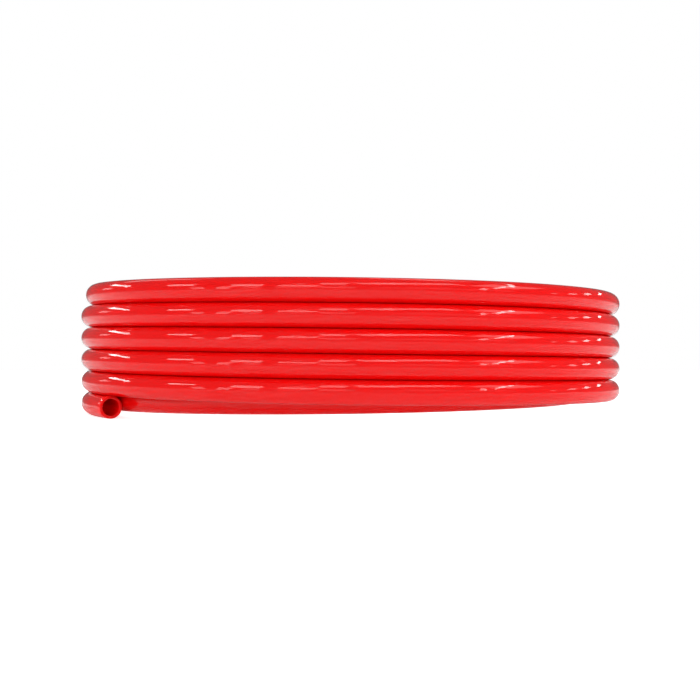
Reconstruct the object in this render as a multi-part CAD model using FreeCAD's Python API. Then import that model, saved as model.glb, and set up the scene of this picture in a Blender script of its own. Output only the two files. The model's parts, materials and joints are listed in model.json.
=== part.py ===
"""A two-layer shipping coil of plain nylon air hose, 10 mm outside and 7.5 mm inside.

One length of hose is wound up the outside of the coil, crosses inwards over the top and is wound
back down the inside, turning the same way all along. Millimetres. +Z is up along the coil's axis,
the origin is on the floor at that axis, and -Y is the front. An azimuth is measured from the
front about the axis, positive towards +X.
"""

import FreeCAD, Part
import math
import os

V = FreeCAD.Vector
UP = V(0, 0, 1)
AXIS_FOOT = V(0, 0, 0)

# The hose
tube_od = 10.0
tube_bore = 7.5

# The coil
coil_od = 255.0                 # across the outside of the outer layer
stacked_turns = 5               # turns swept as one stack in each layer
groove_depth = 3.0              # how deep the grooves between the turns are kept
inside_chamfer = 3.0            # bevel where the crown of one layer meets the other layer

# Where each layer starts, as azimuths in degrees
outer_floor_azimuth = -61.0     # the outer layer's first turn lies on the floor here
outer_step_azimuth = -82.5      # its stack starts here, behind the outer end
inner_floor_azimuth = -156.6    # the inner layer's last turn reaches the floor here, and is cut
inner_step_azimuth = -140.6     # its stack ends here, ahead of the inner end

# The outer end: a straight stretch that leaves the coil along its tangent
outer_end_azimuth = -62.3
outer_end_straight = 10.0

# The crossover's corners, as shares of its way from the outer layer to the inner one
crossover_shares = [0.0, 1 / 6, 1 / 2, 5 / 6, 1.0]
crossover_dip = 0.4             # how far it sinks between the two layers half-way
arc_share = 0.45                # how much of the shorter run a corner's arc takes up

# What follows from these
tube_r = tube_od / 2
bore_r = tube_bore / 2
turn_pitch = tube_od            # each turn lies on the one below
outer_radius = coil_od / 2 - tube_r             # of the hose's centreline in the outer layer
inner_radius = outer_radius - tube_od           # and in the inner layer, which touches it
stack_height = stacked_turns * turn_pitch


def climb(degrees):
    """How far the hose's centreline rises along this much of a turn."""
    return turn_pitch * degrees / 360


outer_step_z = tube_r + climb(outer_floor_azimuth - outer_step_azimuth)
inner_step_z = tube_r + climb(inner_step_azimuth - inner_floor_azimuth)


def around(radius, azimuth, z):
    """The point at this radius, azimuth in degrees and height."""
    a = math.radians(azimuth)
    return V(radius * math.sin(a), -radius * math.cos(a), z)


def heading(azimuth):
    """Level direction of travel at an azimuth, towards smaller azimuths."""
    a = math.radians(azimuth)
    return V(-math.cos(a), -math.sin(a), 0)


def line(start, end):
    return Part.LineSegment(start, end).toShape()


def arc(start, middle, end):
    return Part.Arc(start, middle, end).toShape()


def ring_face(centre, direction):
    """The hose's section: a disc with the bore cut out, square to the direction."""
    disc = Part.Face(Part.Wire(Part.makeCircle(tube_r, centre, direction)))
    hole = Part.Face(Part.Wire(Part.makeCircle(bore_r, centre, direction)))
    return disc.cut(hole).Faces[0]


def hose_along(name, edges):
    """A hollow hose whose centreline is these tangent lines and arcs, one after another."""
    pieces, length, radii = [], 0.0, []
    for edge in edges:
        start = edge.valueAt(edge.FirstParameter)
        section = ring_face(start, edge.tangentAt(edge.FirstParameter))
        if isinstance(edge.Curve, Part.Circle):
            turn = math.degrees(edge.LastParameter - edge.FirstParameter)
            pieces.append(section.revolve(edge.Curve.Center, edge.Curve.Axis, turn))
            radii.append(round(edge.Curve.Radius, 1))
        else:
            pieces.append(section.extrude(edge.valueAt(edge.LastParameter) - start))
        length += edge.Length
    hose = pieces[0].multiFuse(pieces[1:]).removeSplitter().Solids[0] if pieces[1:] else pieces[0]
    by_section = math.pi * (tube_r ** 2 - bore_r ** 2) * length
    print(f"{name}: length {length:.1f} mm, bend radii {radii} mm, "
          f"volume {hose.Volume:.0f} mm3, section x length {by_section:.0f} mm3")
    return hose


def rounded(corners):
    """Straight runs between the corners, joined by tangent arcs as large as the runs allow."""
    edges, here = [], corners[0]
    for before, corner, after in zip(corners, corners[1:], corners[2:]):
        back, ahead = before - corner, after - corner
        reach = arc_share * min(back.Length, ahead.Length)
        half_turn = (math.pi - back.getAngle(ahead)) / 2
        radius = reach / math.tan(half_turn)
        back.normalize()
        ahead.normalize()
        inwards = (back + ahead).normalize()
        start, end = corner + back * reach, corner + ahead * reach
        middle = corner + inwards * (radius / math.cos(half_turn) - radius)
        edges += [line(here, start), arc(start, middle, end)]
        here = end
    return edges + [line(here, corners[-1])]


def stack_profile(centre_radius, side):
    """Half-section of a stack of turns, standing on z = 0 in the XZ plane.

    The turns' round backs face outwards with side 1 and inwards with side -1. The other side
    is the plain wall where the two layers touch.
    """
    wall = centre_radius - side * tube_r
    bevel = wall + side * inside_chamfer
    back = centre_radius + side * tube_r
    groove = back - side * groove_depth
    edges = [line(V(wall, 0, inside_chamfer), V(bevel, 0, 0)), line(V(bevel, 0, 0), V(groove, 0, 0))]
    for turn in range(stacked_turns):
        foot = turn * turn_pitch
        edges.append(arc(V(groove, 0, foot), V(back, 0, foot + turn_pitch / 2),
                         V(groove, 0, foot + turn_pitch)))
    edges.append(line(V(groove, 0, stack_height), V(bevel, 0, stack_height)))
    edges.append(line(V(bevel, 0, stack_height), V(wall, 0, stack_height - inside_chamfer)))
    edges.append(line(V(wall, 0, stack_height - inside_chamfer), V(wall, 0, inside_chamfer)))
    return Part.Wire(edges)


def winding(centre_radius, side, step_azimuth, step_z, climbs_left):
    """One layer of the coil as a closed solid of its outer shape.

    A stack of turns is carried once round the axis while it climbs by one turn, so its foot and
    its crown are ramps and each ends in a step at step_azimuth. climbs_left is true where the
    hose rises clockwise seen from above.
    """
    profile = stack_profile(centre_radius, side)
    helix = Part.makeHelix(turn_pitch, turn_pitch / 2, centre_radius, 0, climbs_left)
    halves = []
    for half in range(2):
        swept = Part.Wire(helix.Edges).makePipeShell([profile], True, True)
        swept.rotate(AXIS_FOOT, UP, step_azimuth - 90 + 180 * half)
        swept.translate(V(0, 0, step_z - tube_r + half * turn_pitch / 2))
        halves.append(swept)
    return halves[0].fuse(halves[1]).removeSplitter().Solids[0]


def outer_winding():
    return winding(outer_radius, 1, outer_step_azimuth, outer_step_z, True)


def inner_winding():
    return winding(inner_radius, -1, inner_step_azimuth, inner_step_z, False)


def laid_on_floor(name, hose, mouth, ahead, pivot, azimuth):
    """Tips an end of the hose about the coil's radius at its stack until its mouth lies on the floor.

    The pivot is where the hose meets the stack, at this azimuth. ahead is the way out of the mouth.
    """
    spoke = around(1, azimuth, 0)
    lean = spoke.cross(mouth - pivot).z
    tip = FreeCAD.Rotation(spoke, -math.degrees(math.asin((pivot.z - tube_r) / lean)))
    hose.Placement = FreeCAD.Placement(pivot - tip.multVec(pivot), tip)
    print(f"{name}: mouth {pivot + tip.multVec(mouth - pivot)}, its way out {tip.multVec(ahead)}")
    return hose


def coil_arc(radius, start, end, z):
    """A level arc about the coil's axis from one azimuth to another."""
    return arc(around(radius, start, z), around(radius, (start + end) / 2, z), around(radius, end, z))


def outer_end():
    """The cut end in front: from its mouth back along the coil to the foot of the outer stack."""
    leaves = around(outer_radius, outer_end_azimuth, outer_step_z)
    ahead = heading(outer_end_azimuth) * -1
    mouth = leaves + ahead * outer_end_straight
    bent = coil_arc(outer_radius, outer_end_azimuth, outer_step_azimuth, outer_step_z)
    hose = hose_along("outer_end", [line(mouth, leaves), bent])
    meets = around(outer_radius, outer_step_azimuth, outer_step_z)
    return laid_on_floor("outer_end", hose, mouth, ahead, meets, outer_step_azimuth)


def crossover():
    """The stretch on top where the hose passes from the outer layer to the inner one.

    It climbs with the outer stack's crown, dips into the groove between the two layers and comes
    down with the inner stack's crown.
    """
    turn = inner_step_azimuth - outer_step_azimuth
    corners = []
    for before, share, after in zip([0.0] + crossover_shares, crossover_shares, crossover_shares[1:] + [1.0]):
        inwards = share * share * (3 - 2 * share)
        radius = outer_radius - (outer_radius - inner_radius) * inwards
        if before < share < after:
            radius /= math.cos(math.radians(turn * (after - before) / 4))
        azimuth = outer_step_azimuth + turn * share
        on_outer = outer_step_z + climb(outer_step_azimuth - azimuth)
        on_inner = inner_step_z + climb(azimuth - inner_step_azimuth)
        dip = crossover_dip * 4 * share * (1 - share)
        corners.append(around(radius, azimuth, stack_height + min(on_outer, on_inner) - dip))
    return hose_along("crossover", rounded(corners))


def inner_end():
    """The other cut end: it runs on from the foot of the inner stack, down to the floor."""
    bent = coil_arc(inner_radius, inner_step_azimuth, inner_floor_azimuth, inner_step_z)
    hose = hose_along("inner_end", [bent])
    mouth = around(inner_radius, inner_floor_azimuth, inner_step_z)
    meets = around(inner_radius, inner_step_azimuth, inner_step_z)
    return laid_on_floor("inner_end", hose, mouth, heading(inner_floor_azimuth), meets, inner_step_azimuth)


os.makedirs("parts", exist_ok=True)
for make in (outer_end, outer_winding, crossover, inner_winding, inner_end):
    shape = make()
    print(make.__name__, "valid", shape.isValid(), "solids", len(shape.Solids),
          "volume", round(shape.Volume), "z", round(shape.BoundBox.ZMin, 2), round(shape.BoundBox.ZMax, 2))
    shape.exportStep(f"parts/{make.__name__}.step")
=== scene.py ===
"""A two-layer shipping coil of red nylon air hose on a pale studio floor.

Run as a script. The hose is one length: from the cut end in front it is wound up the outside of
the coil, crosses inwards over the top and is wound back down the inside to its other cut end.
Metres and radians. +Z is up along the coil's axis, -Y the front. An azimuth is measured from the
front about the axis, positive towards +X. "Turned" is how far the hose has been wound from where
its first turn lies on the floor. Only the tables of lights are in degrees.
"""

import json
import math

import bpy
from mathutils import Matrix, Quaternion, Vector


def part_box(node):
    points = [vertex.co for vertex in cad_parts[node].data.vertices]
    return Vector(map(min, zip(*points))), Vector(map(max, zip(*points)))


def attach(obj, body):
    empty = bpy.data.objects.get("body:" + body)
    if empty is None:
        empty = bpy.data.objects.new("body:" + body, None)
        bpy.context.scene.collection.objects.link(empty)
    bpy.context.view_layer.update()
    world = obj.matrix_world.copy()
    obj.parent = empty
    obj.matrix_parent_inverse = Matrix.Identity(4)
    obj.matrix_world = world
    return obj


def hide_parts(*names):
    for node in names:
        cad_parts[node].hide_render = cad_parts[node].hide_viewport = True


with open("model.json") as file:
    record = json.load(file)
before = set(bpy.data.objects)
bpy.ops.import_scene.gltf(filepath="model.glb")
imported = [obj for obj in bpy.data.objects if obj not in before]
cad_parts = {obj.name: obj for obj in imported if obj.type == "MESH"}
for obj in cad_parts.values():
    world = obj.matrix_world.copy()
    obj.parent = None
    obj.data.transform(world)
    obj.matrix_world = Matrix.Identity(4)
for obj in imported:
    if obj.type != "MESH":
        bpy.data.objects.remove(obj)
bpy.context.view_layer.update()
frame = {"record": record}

bl_info = {
    "name": "Coiled air hose",
    "version": (1, 0, 0),
    "blender": (4, 5, 0),
    "location": "3D View > Sidebar > Air Hose",
    "description": "Winds a two-layer coil of air hose and lights it on a pale floor",
    "category": "Object",
}

MM = 0.001
MOUNTS = {mount["name"]: mount for mount in frame["record"]["mounts"]}
HOSE_BORE = 2 * MOUNTS["outer_end_bore"]["dims"]["r_mm"] * MM
COIL_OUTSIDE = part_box("outer_winding")[1][0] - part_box("outer_winding")[0][0]

# The angle between the coil's control points, and the share of their radius that the spline has:
# the mean of its radius halfway between two points and its radius beside one
POINT_STEP = math.radians(15)
SPLINE_SHARE = (math.cos(POINT_STEP / 2) + 0.75 + 0.25 * math.cos(POINT_STEP)) / 2

# How far out along the straight end its inner control point is
END_BEND_SHARE = 0.45

# The cut ends: how wide their rounded rims are, how near an end the surface is the knife's, and
# how rough it is there
RIM_WIDTH = 0.06 * MM
CUT_DEPTH = 0.1 * MM
CUT_ROUGHNESS = 0.42

# Edges sharper than these are rounded to a rim, and shaded as edges
RIM_ANGLE = math.radians(60)
SHARP_ANGLE = math.radians(25)

# How rough the skin is where it is cleanest and haziest, and how high its waves and lines stand
CLEAN_ROUGHNESS = 0.004
HAZY_ROUGHNESS = 0.014
WAVE_HEIGHT = 0.003 * MM
DIE_LINE_HEIGHT = 0.0008 * MM

FLOOR_SIDE = 2.4
LIGHT_DISTANCE = 12.0


# Small helpers

def linear(hex_colour):
    """An sRGB hex colour as the linear colour that shaders take."""
    channels = [int(hex_colour[i:i + 2], 16) / 255 for i in (1, 3, 5)]
    return [c / 12.92 if c <= 0.04045 else ((c + 0.055) / 1.055) ** 2.4 for c in channels] + [1.0]


def add_node(tree, kind, settings=None, inputs=None):
    """Adds a node, sets its properties, and sets or links its inputs."""
    node = tree.nodes.new(kind)
    for name, value in (settings or {}).items():
        setattr(node, name, value)
    for name, value in (inputs or {}).items():
        if isinstance(value, bpy.types.NodeSocket):
            tree.links.new(value, node.inputs[name])
        else:
            node.inputs[name].default_value = value
    return node


def smooth(share):
    """0 to 1 with a level start and finish."""
    share = min(max(share, 0.0), 1.0)
    return share * share * (3 - 2 * share)


# The hose's route

def around(radius, azimuth, z):
    """The point at this radius, azimuth and height."""
    return Vector((radius * math.sin(azimuth), -radius * math.cos(azimuth), z))


def outer_radius(size):
    """From the coil's axis to the hose's centreline in the outer layer."""
    return (size.coil_outside - size.outside) / 2


def inner_radius(size):
    """The same in the inner layer, which touches the outer one."""
    return outer_radius(size) - size.outside


def coil_point(size, turned):
    """The coil's control point where the hose has turned this far."""
    crossed = smooth((turned - size.leaves_outer) / (size.joins_inner - size.leaves_outer))
    radius = outer_radius(size) + (inner_radius(size) - outer_radius(size)) * crossed
    rising = size.outside * (0.5 + turned / math.tau)
    falling = size.outside * (0.5 + (size.last_turned - turned) / math.tau)
    easing = size.crown_easing
    height = min(rising, falling) - easing * math.exp(-abs(rising - falling) / (2 * easing))
    return around(radius / SPLINE_SHARE, size.floor_azimuth - turned, height)


def hose_route(size):
    """The route's control points, from the outer cut end to the inner one."""
    leaves = around(outer_radius(size), size.end_azimuth, size.outside / 2)
    ahead = Vector((math.cos(size.end_azimuth), math.sin(size.end_azimuth), 0))
    straight = ahead * size.end_straight
    points = [leaves + straight, leaves + straight * END_BEND_SHARE]
    turned = size.floor_azimuth - size.end_azimuth + POINT_STEP / 2
    while turned < size.last_turned - POINT_STEP / 2:
        points.append(coil_point(size, turned))
        turned += POINT_STEP
    last_azimuth = size.floor_azimuth - size.last_turned
    points.append(around(inner_radius(size), last_azimuth, size.outside / 2))
    return points


def placed(name, data):
    """A new object in the scene, at the origin."""
    thing = bpy.data.objects.new(name, data)
    bpy.context.scene.collection.objects.link(thing)
    return thing


def finished_mesh(holder, name):
    """A plain mesh of an object with its modifiers applied. The object goes."""
    bpy.context.view_layer.update()
    evaluated = holder.evaluated_get(bpy.context.evaluated_depsgraph_get())
    mesh = bpy.data.meshes.new_from_object(evaluated)
    mesh.name = name
    bpy.data.objects.remove(holder)
    return mesh


def spline_points(points):
    """A mesh of the points along the smooth curve that has these control points."""
    curve = bpy.data.curves.new("hose_route", "CURVE")
    curve.dimensions = "3D"
    curve.resolution_u = 12
    spline = curve.splines.new("NURBS")
    spline.points.add(len(points) - 1)
    for place, point in zip(spline.points, points):
        place.co = (*point, 1.0)
    spline.order_u = 3
    spline.use_endpoint_u = True
    mesh = finished_mesh(placed("hose_route", curve), "hose_route")
    bpy.data.curves.remove(curve)
    return mesh


# The hose's surface

def hose_tree():
    """Geometry Nodes that sweep the hose's outside along a line of edges.

    The attribute "hose_place" keeps each point's place on the hose before it was wound: across
    the hose in x and y and along it in z, in metres, so that patterns run with the hose.
    """
    tree = bpy.data.node_groups.new("Hose along a route", "GeometryNodeTree")
    face = tree.interface
    face.new_socket("Geometry", in_out="INPUT", socket_type="NodeSocketGeometry")
    face.new_socket("Outside Diameter", in_out="INPUT", socket_type="NodeSocketFloat")
    face.new_socket("Ring Spacing", in_out="INPUT", socket_type="NodeSocketFloat")
    face.new_socket("Sides", in_out="INPUT", socket_type="NodeSocketInt")
    face.new_socket("Material", in_out="INPUT", socket_type="NodeSocketMaterial")
    face.new_socket("Geometry", in_out="OUTPUT", socket_type="NodeSocketGeometry")
    given = add_node(tree, "NodeGroupInput").outputs

    line = add_node(tree, "GeometryNodeMeshToCurve", inputs={"Mesh": given["Geometry"]})
    rings = add_node(tree, "GeometryNodeResampleCurve", {"mode": "LENGTH"},
                     {"Curve": line.outputs["Curve"], "Length": given["Ring Spacing"]})
    upright = add_node(tree, "GeometryNodeSetCurveNormal", {"mode": "Z_UP"},
                       {"Curve": rings.outputs["Curve"]})
    along = add_node(tree, "GeometryNodeCaptureAttribute", {"domain": "POINT"},
                     {"Geometry": upright.outputs["Curve"]})
    along.capture_items.new("FLOAT", "Along")
    distance = add_node(tree, "GeometryNodeSplineParameter").outputs["Length"]
    tree.links.new(distance, along.inputs["Along"])

    half = add_node(tree, "ShaderNodeMath", {"operation": "MULTIPLY"},
                    {0: given["Outside Diameter"], 1: 0.5})
    round_section = add_node(tree, "GeometryNodeCurvePrimitiveCircle", {"mode": "RADIUS"},
                             {"Resolution": given["Sides"], "Radius": half.outputs[0]})
    across = add_node(tree, "GeometryNodeCaptureAttribute", {"domain": "POINT"},
                      {"Geometry": round_section.outputs["Curve"]})
    across.capture_items.new("VECTOR", "Across")
    position = add_node(tree, "GeometryNodeInputPosition").outputs["Position"]
    tree.links.new(position, across.inputs["Across"])

    swept = add_node(tree, "GeometryNodeCurveToMesh", inputs={
        "Curve": along.outputs["Geometry"], "Profile Curve": across.outputs["Geometry"],
        "Fill Caps": False})
    lengthwise = add_node(tree, "ShaderNodeCombineXYZ", inputs={"Z": along.outputs["Along"]})
    place = add_node(tree, "ShaderNodeVectorMath", {"operation": "ADD"},
                     {0: across.outputs["Across"], 1: lengthwise.outputs[0]})
    kept = add_node(tree, "GeometryNodeStoreNamedAttribute",
                    {"data_type": "FLOAT_VECTOR", "domain": "POINT"},
                    {"Geometry": swept.outputs["Mesh"], "Name": "hose_place",
                     "Value": place.outputs[0]})
    whole = add_node(tree, "GeometryNodeRealizeInstances",
                     inputs={"Geometry": kept.outputs["Geometry"]})
    coloured = add_node(tree, "GeometryNodeSetMaterial", inputs={
        "Geometry": whole.outputs["Geometry"], "Material": given["Material"]})
    add_node(tree, "NodeGroupOutput", inputs={"Geometry": coloured.outputs["Geometry"]})
    return tree


def set_inputs(modifier, values):
    """Sets a Geometry Nodes modifier's inputs by the names that its tree gives them."""
    for socket in modifier.node_group.interface.items_tree:
        if socket.item_type == "SOCKET" and socket.in_out == "INPUT" and socket.name in values:
            modifier[socket.identifier] = values[socket.name]


def red_nylon(size, hose_length):
    """Nylon 12 hose, extruded through a sizing die and cooled in water, red right through.

    The eye gets a hard, wet-looking gloss, drawn out by faint die lines that run along the hose
    and a slow waviness from the take-up rollers. The nylon passes a little light on, so the
    creases and the bore glow deep red. The knife leaves its two cut faces duller.
    """
    material = bpy.data.materials.new("red_nylon_extruded")
    material.use_nodes = True
    tree = material.node_tree
    tree.nodes.clear()
    unwound = add_node(tree, "ShaderNodeAttribute", {"attribute_name": "hose_place"})
    place = unwound.outputs["Vector"]

    # Each pattern's size in millimetres round the hose and along it, and its detail. The haze is
    # from handling, and the pigment has slightly deeper and lighter stretches.
    patterns = {}
    for name, mm_round, mm_along, detail in (
            ("die lines", 0.4, 125, 2.0),
            ("waves", 5, 100 / 7, 1.0),
            ("haze", 25 / 3, 25, 4.0),
            ("pigment", 50 / 3, 62.5, 2.0)):
        across, lengthwise = 1 / (mm_round * MM), 1 / (mm_along * MM)
        stretched = add_node(tree, "ShaderNodeMapping", inputs={
            "Vector": place, "Scale": (across, across, lengthwise)})
        noise = add_node(tree, "ShaderNodeTexNoise", inputs={
            "Vector": stretched.outputs["Vector"], "Scale": 1.0, "Detail": detail})
        patterns[name] = noise.outputs["Fac"]

    # The cut faces are the only surface so near either end of the hose
    along = add_node(tree, "ShaderNodeSeparateXYZ", inputs={"Vector": place}).outputs["Z"]
    from_middle = add_node(tree, "ShaderNodeMath", {"operation": "SUBTRACT"},
                           {0: along, 1: hose_length / 2})
    away = add_node(tree, "ShaderNodeMath", {"operation": "ABSOLUTE"}, {0: from_middle.outputs[0]})
    cut = add_node(tree, "ShaderNodeMath", {"operation": "GREATER_THAN"},
                   {0: away.outputs[0], 1: hose_length / 2 - CUT_DEPTH}).outputs[0]

    pigment = add_node(tree, "ShaderNodeMix", {"data_type": "RGBA"}, {
        0: patterns["pigment"], 6: linear(size.colour_deep), 7: linear(size.colour_light)})
    colour = add_node(tree, "ShaderNodeMix", {"data_type": "RGBA"}, {
        0: cut, 6: pigment.outputs[2], 7: linear(size.colour_cut)})
    gloss = add_node(tree, "ShaderNodeMapRange", inputs={
        "Value": patterns["haze"], "From Min": 0.3, "From Max": 0.75,
        "To Min": CLEAN_ROUGHNESS, "To Max": HAZY_ROUGHNESS})
    roughness = add_node(tree, "ShaderNodeMix", {"data_type": "FLOAT"}, {
        0: cut, 2: gloss.outputs["Result"], 3: CUT_ROUGHNESS})
    swells = add_node(tree, "ShaderNodeBump", inputs={
        "Height": patterns["waves"], "Strength": 1.0, "Distance": WAVE_HEIGHT})
    lines = add_node(tree, "ShaderNodeBump", inputs={
        "Height": patterns["die lines"], "Strength": 0.5, "Distance": DIE_LINE_HEIGHT,
        "Normal": swells.outputs["Normal"]})

    # Red light spreads about 4 mm through the nylon, and green and blue hardly at all
    shader = add_node(tree, "ShaderNodeBsdfPrincipled", inputs={
        "Base Color": colour.outputs[2], "Roughness": roughness.outputs[0], "IOR": 1.45,
        "Subsurface Weight": 1.0, "Subsurface Radius": (1.0, 0.12, 0.12),
        "Subsurface Scale": 4 * MM, "Normal": lines.outputs["Normal"]})
    add_node(tree, "ShaderNodeOutputMaterial", inputs={"Surface": shader.outputs["BSDF"]})
    return material


# What a user would change

class HoseSizes(bpy.types.PropertyGroup):
    """The hose's sizes and colours and how it is wound"""
    outside: bpy.props.FloatProperty(
        name="Outside Diameter", description="Across the outside of the hose",
        default=10 * MM, min=4 * MM, max=20 * MM, unit="LENGTH")
    bore: bpy.props.FloatProperty(
        name="Bore", description="Across the bore of the hose",
        default=HOSE_BORE, min=2 * MM, max=16 * MM, unit="LENGTH")
    coil_outside: bpy.props.FloatProperty(
        name="Coil Diameter", description="Across the outside of the outer layer",
        default=COIL_OUTSIDE, min=100 * MM, max=600 * MM, unit="LENGTH")
    floor_azimuth: bpy.props.FloatProperty(
        name="Floor Azimuth", description="Where the outer layer's first turn lies on the floor",
        default=math.radians(-61), unit="ROTATION")
    end_azimuth: bpy.props.FloatProperty(
        name="End Azimuth", description="Where the outer end leaves the coil",
        default=math.radians(-62.3), unit="ROTATION")
    end_straight: bpy.props.FloatProperty(
        name="Straight End", description="Length of the straight outer end",
        default=10 * MM, min=0.0, unit="LENGTH")
    leaves_outer: bpy.props.FloatProperty(
        name="Leaves Outer Layer",
        description="How far the hose has turned where it starts to cross inwards",
        default=math.radians(1784), unit="ROTATION")
    joins_inner: bpy.props.FloatProperty(
        name="Joins Inner Layer",
        description="How far the hose has turned where it has crossed inwards",
        default=math.radians(1894), unit="ROTATION")
    last_turned: bpy.props.FloatProperty(
        name="Wound Angle",
        description="How far the hose has turned where the inner layer reaches the floor",
        default=math.radians(3695.6), unit="ROTATION")
    crown_easing: bpy.props.FloatProperty(
        name="Crown Easing", description="How far the crossing hose sinks between the two layers",
        default=0.8 * MM, min=0.01 * MM, unit="LENGTH")
    ring_spacing: bpy.props.FloatProperty(
        name="Ring Spacing", description="Distance along the hose between rings of the mesh",
        default=4.6 * MM, min=1 * MM, unit="LENGTH")
    sides: bpy.props.IntProperty(
        name="Sides", description="Faces round the hose",
        default=28, min=8, max=64)
    colour_light: bpy.props.StringProperty(
        name="Light Red", description="The lightest stretches of the hose, sRGB hex",
        default="#FA0E0E")
    colour_deep: bpy.props.StringProperty(
        name="Deep Red", description="The deepest stretches of the hose, sRGB hex",
        default="#F60C0C")
    colour_cut: bpy.props.StringProperty(
        name="Cut Face", description="The knife-cut ends of the hose, sRGB hex",
        default="#FB1414")


class StageSettings(bpy.types.PropertyGroup):
    """The camera, the floor and how bright the studio is"""
    camera_side: bpy.props.FloatProperty(
        name="Camera Side", description="How far the camera stands to the right of the coil's axis",
        default=-0.2 * MM, unit="LENGTH")
    camera_distance: bpy.props.FloatProperty(
        name="Camera Distance", description="How far the camera stands in front of the coil's axis",
        default=0.6315, min=0.2, unit="LENGTH")
    camera_height: bpy.props.FloatProperty(
        name="Camera Height", description="Height of the level camera above the floor",
        default=0.02984, unit="LENGTH")
    camera_lens: bpy.props.FloatProperty(
        name="Focal Length", description="Focal length on a 36 mm sensor, in millimetres",
        default=67.14, min=10.0)
    panel_level: bpy.props.FloatProperty(
        name="Panels", description="Brightness of the studio panels",
        default=1.0, min=0.0)
    fill_level: bpy.props.FloatProperty(
        name="Soft Fill",
        description="Brightness of the large soft lights, which leave no reflection",
        default=1.0, min=0.0)
    floor_glow: bpy.props.FloatProperty(
        name="Floor Glow", description="How far the floor is lifted towards white for the camera",
        default=0.8, min=0.0)
    floor_fill: bpy.props.FloatProperty(
        name="Floor Fill", description="Extra light that the floor throws up onto the hose",
        default=0.15, min=0.0)
    floor_colour: bpy.props.StringProperty(
        name="Floor Colour", description="Colour of the pale floor, sRGB hex", default="#F4F4F4")


# The studio

# Each light's name, direction from straight behind the coil (positive towards +X), elevation,
# width, height and tilt (positive where it rises to the right), all in degrees, and its radiance
PANELS = [
    ("overhead_right", 132, 62, 26, 14, 0, 2.3),
    ("overhead_front", 164, 58, 12, 15, 0, 2.4),
    ("overhead_left", -172, 53, 9, 20, 0, 2.4),
    ("front_low", -175, 19, 14, 14, 0, 0.9),
    ("left_front_near", -158, 31, 15, 12, 0, 2.9),
    ("left_front_tall", -155, 48, 4, 14, 10, 0.9),
    ("left_front", -134.5, 32, 12, 14, -12, 3.8),
    ("left_front_top", -129, 41, 9, 5, 0, 1.2),
    ("left_front_low", -128, 12, 6, 18, 0, 2.2),
    ("left_front_foot", -140, 13, 7, 14, 0, 0.9),
    ("left_front_near_foot", -157, 14, 14, 14, 0, 0.5),
    ("left_side", -99.5, 32, 12, 8.5, -20, 5.2),
    ("left_side_low", -116, 11, 6, 14, -15, 2.0),
    ("left_back", -54, 26.5, 21, 4, 0, 6.0),
    ("left_back_edge", -67, 24, 7, 4, 40, 4.0),
    ("left_back_high", -31, 40, 9, 18, 0, 0.9),
    ("left_back_low", -56.5, 14, 3, 6, 30, 1.5),
    ("left_back_low_near", -52, 14, 3, 7, 30, 1.5),
    ("right_back_high", 16, 54, 16, 8, 20, 1.5),
    ("right_back_far", 41.5, 18.5, 10, 2, -14, 4.0),
    ("right_back", 58.5, 19, 10, 4, -28, 3.6),
    ("right_low", 73, 17, 9, 5, -40, 2.2),
    ("right_low_side", 87, 15, 9, 3, -60, 1.3),
    ("right_window", 90, 46, 25, 20, -12, 1.3),
    ("right_strip_far", 42, 51, 10, 1, 0, 1.5),
    ("right_strip", 59, 52, 11, 1.2, 0, 6.0),
    ("right_strip_near", 79, 49, 16, 1.9, -22, 9.0),
    ("right_high", 103, 40.5, 24, 2.3, -42, 8.5),
    ("right_front", 120, 29, 15, 3, -65, 5.0),
    ("right_front_wall", 147, 27, 16, 12, 0, 0.2),
    ("right_front_foot", 140, 20, 60, 12, 0, 0.3),
]

# Lights too soft and large to leave a reflection
SOFT_FILLS = [
    ("soft_front", 180, 10, 60, 26, 0, 0.25),
    ("soft_left", -110, 10, 60, 26, 0, 1.4),
    ("soft_right", 110, 10, 60, 26, 0, 2.3),
    ("soft_back", 0, 15, 60, 26, 0, 0.9),
    ("soft_top", 180, 80, 60, 60, 0, 0.1),
]

# Sine of the elevation, from straight down to straight up, and how bright the room is there: the
# floor below the horizon and the walls above it. It is brighter in front and dimmer behind.
ROOM_LEVELS = [(-1.0, 0.55), (-0.004, 0.66), (0.004, 0.28), (0.07, 0.22), (0.20, 0.20),
               (0.75, 0.18), (1.0, 0.25)]
ROOM_FRONT = 1.3
ROOM_BACK = 0.7


# Operators

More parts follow.
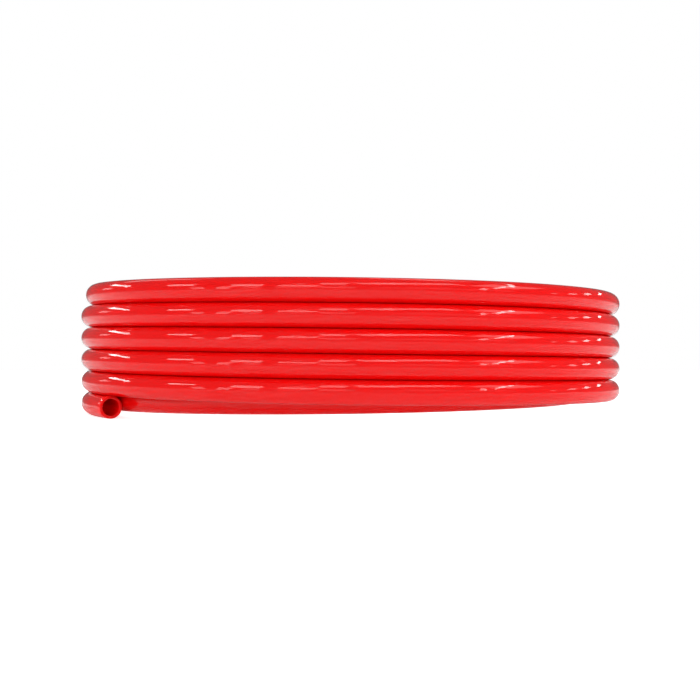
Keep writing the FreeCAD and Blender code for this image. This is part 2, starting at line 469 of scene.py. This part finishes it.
class HOSE_OT_wind(bpy.types.Operator):
    """Winds the hose into its two-layer coil"""
    bl_idname = "air_hose.wind"
    bl_label = "Wind Hose"
    bl_options = {"REGISTER", "UNDO"}

    def execute(self, context):
        size = context.scene.air_hose
        if size.bore >= size.outside:
            raise RuntimeError("The bore has to be smaller than the outside diameter")
        if not size.leaves_outer < size.joins_inner < size.last_turned:
            raise RuntimeError("The hose has to leave the outer layer, join the inner one "
                               "and reach the floor, in that order")
        route = spline_points(hose_route(size))
        line = [vertex.co.copy() for vertex in route.vertices]
        length = sum((b - a).length for a, b in zip(line, line[1:]))
        material = red_nylon(size, length)

        holder = placed("air_hose", route)
        sweep = holder.modifiers.new("Sweep", "NODES")
        sweep.node_group = hose_tree()
        set_inputs(sweep, {"Outside Diameter": size.outside, "Ring Spacing": size.ring_spacing,
                           "Sides": size.sides, "Material": material})
        wall = holder.modifiers.new("Wall", "SOLIDIFY")
        wall.thickness = (size.outside - size.bore) / 2
        wall.offset = -1.0
        rims = holder.modifiers.new("Rims", "BEVEL")
        rims.width = RIM_WIDTH
        rims.segments = 2
        rims.limit_method = "ANGLE"
        rims.angle_limit = RIM_ANGLE
        mesh = finished_mesh(holder, "air_hose")
        mesh.polygons.foreach_set("use_smooth", [True] * len(mesh.polygons))
        mesh.set_sharp_from_angle(angle=SHARP_ANGLE)

        hose = placed("air_hose", mesh)
        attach(hose, "root")
        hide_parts("outer_end", "outer_winding", "crossover", "inner_winding", "inner_end")
        print(f"hose: {length:.4f} m long, {len(mesh.polygons)} faces")
        return {"FINISHED"}


class HOSE_OT_stage(bpy.types.Operator):
    """Makes the camera, the pale floor and the studio lights"""
    bl_idname = "air_hose.stage"
    bl_label = "Set Stage"
    bl_options = {"REGISTER", "UNDO"}

    def execute(self, context):
        stage = context.scene.air_hose_stage
        self.make_camera(context.scene, stage)
        self.make_floor(stage)
        self.make_world(context.scene)
        for panel in PANELS:
            self.add_light(*panel, stage.panel_level, reflected=True)
        for fill in SOFT_FILLS:
            self.add_light(*fill, stage.fill_level, reflected=False)
        context.scene.view_settings.view_transform = "Standard"
        return {"FINISHED"}

    def make_camera(self, scene, stage):
        """A level camera in front of the coil, close to the floor."""
        data = bpy.data.cameras.new("camera")
        data.lens = stage.camera_lens
        data.sensor_width = 36.0
        data.clip_start = 0.01
        camera = placed("camera", data)
        camera.location = (stage.camera_side, -stage.camera_distance, stage.camera_height)
        camera.rotation_euler = (math.radians(90), 0, 0)
        scene.camera = camera

    def make_floor(self, stage):
        """A square of paper under the coil."""
        half = FLOOR_SIDE / 2
        corners = [(-half, -half, 0), (half, -half, 0), (half, half, 0), (-half, half, 0)]
        mesh = bpy.data.meshes.new("floor")
        mesh.from_pydata(corners, [], [(0, 1, 2, 3)])
        mesh.materials.append(self.floor_paper(stage))
        placed("floor", mesh)

    def floor_paper(self, stage):
        """Matt white background paper, lit up to white for the camera.

        The hose's gloss shows it greyer, and it throws a little extra light up onto the hose.
        """
        material = bpy.data.materials.new("white_background_paper")
        material.use_nodes = True
        tree = material.node_tree
        tree.nodes.clear()
        ray = add_node(tree, "ShaderNodeLightPath")
        matt = add_node(tree, "ShaderNodeBsdfDiffuse", inputs={"Color": linear(stage.floor_colour)})
        seen = add_node(tree, "ShaderNodeMath", {"operation": "MULTIPLY"}, {
            0: ray.outputs["Is Camera Ray"], 1: stage.floor_glow})
        level = add_node(tree, "ShaderNodeMath", {"operation": "MULTIPLY_ADD"}, {
            0: ray.outputs["Is Diffuse Ray"], 1: stage.floor_fill, 2: seen.outputs[0]})
        glow = add_node(tree, "ShaderNodeEmission", inputs={
            "Color": (1, 1, 1, 1), "Strength": level.outputs[0]})
        both = add_node(tree, "ShaderNodeAddShader", inputs={
            0: matt.outputs[0], 1: glow.outputs[0]})
        add_node(tree, "ShaderNodeOutputMaterial", inputs={"Surface": both.outputs[0]})
        return material

    def make_world(self, scene):
        """A white backdrop for the camera, and for the hose a room that is dim above and behind."""
        world = bpy.data.worlds.new("studio")
        world.use_nodes = True
        tree = world.node_tree
        tree.nodes.clear()
        direction = add_node(tree, "ShaderNodeTexCoord").outputs["Generated"]
        split = add_node(tree, "ShaderNodeSeparateXYZ", inputs={"Vector": direction})
        height = add_node(tree, "ShaderNodeMath", {"operation": "MULTIPLY_ADD"},
                          {0: split.outputs["Z"], 1: 0.5, 2: 0.5})
        walls = add_node(tree, "ShaderNodeValToRGB", inputs={"Fac": height.outputs[0]})
        ramp = walls.color_ramp
        for sine, _ in ROOM_LEVELS[1:-1]:
            ramp.elements.new(0.5 + sine / 2)
        for element, (_, level) in zip(ramp.elements, ROOM_LEVELS):
            element.color = (level, level, level, 1)
        fade = add_node(tree, "ShaderNodeMapRange", inputs={
            "Value": split.outputs["Y"], "From Min": -1.0, "From Max": 1.0,
            "To Min": ROOM_FRONT, "To Max": ROOM_BACK})
        room = add_node(tree, "ShaderNodeBackground", inputs={
            "Color": walls.outputs["Color"], "Strength": fade.outputs["Result"]})
        backdrop = add_node(tree, "ShaderNodeBackground", inputs={
            "Color": (1, 1, 1, 1), "Strength": 1.0})
        ray = add_node(tree, "ShaderNodeLightPath")
        seen = add_node(tree, "ShaderNodeMixShader", inputs={
            0: ray.outputs["Is Camera Ray"], 1: room.outputs[0], 2: backdrop.outputs[0]})
        add_node(tree, "ShaderNodeOutputWorld", inputs={"Surface": seen.outputs[0]})
        scene.world = world

    def add_light(self, name, azimuth, elevation, width, height, tilt, radiance, level, reflected):
        """A rectangular light far out that faces the coil, and is or isn't reflected in it."""
        data = bpy.data.lights.new(name, "AREA")
        data.shape = "RECTANGLE"
        data.size = 2 * LIGHT_DISTANCE * math.tan(math.radians(width / 2))
        data.size_y = 2 * LIGHT_DISTANCE * math.tan(math.radians(height / 2))
        # A square metre of this kind of light takes 4 W for each unit of radiance
        data.energy = radiance * level * 4 * data.size * data.size_y
        a, e = math.radians(azimuth), math.radians(elevation)
        way = Vector((math.sin(a) * math.cos(e), math.cos(a) * math.cos(e), math.sin(e)))
        turn = Quaternion((0, 0, 1), math.radians(-tilt))
        light = placed(name, data)
        light.location = way * LIGHT_DISTANCE
        light.rotation_euler = ((-way).to_track_quat("-Z", "Y") @ turn).to_euler()
        light.visible_camera = False
        light.visible_glossy = reflected


class HOSE_PT_panel(bpy.types.Panel):
    """Lists the hose's and the stage's steps and sizes"""
    bl_idname = "HOSE_PT_panel"
    bl_label = "Coiled Air Hose"
    bl_space_type = "VIEW_3D"
    bl_region_type = "UI"
    bl_category = "Air Hose"

    def draw(self, context):
        layout = self.layout
        layout.operator(HOSE_OT_stage.bl_idname)
        for name in StageSettings.__annotations__:
            layout.prop(context.scene.air_hose_stage, name)
        layout.operator(HOSE_OT_wind.bl_idname)
        for name in HoseSizes.__annotations__:
            layout.prop(context.scene.air_hose, name)


CLASSES = (HoseSizes, StageSettings, HOSE_OT_stage, HOSE_OT_wind, HOSE_PT_panel)


def register():
    for cls in CLASSES:
        bpy.utils.register_class(cls)
    bpy.types.Scene.air_hose = bpy.props.PointerProperty(type=HoseSizes)
    bpy.types.Scene.air_hose_stage = bpy.props.PointerProperty(type=StageSettings)


def unregister():
    del bpy.types.Scene.air_hose_stage
    del bpy.types.Scene.air_hose
    for cls in reversed(CLASSES):
        bpy.utils.unregister_class(cls)


def main():
    register()
    bpy.ops.air_hose.stage()
    bpy.ops.air_hose.wind()


if __name__ == "__main__":
    main()
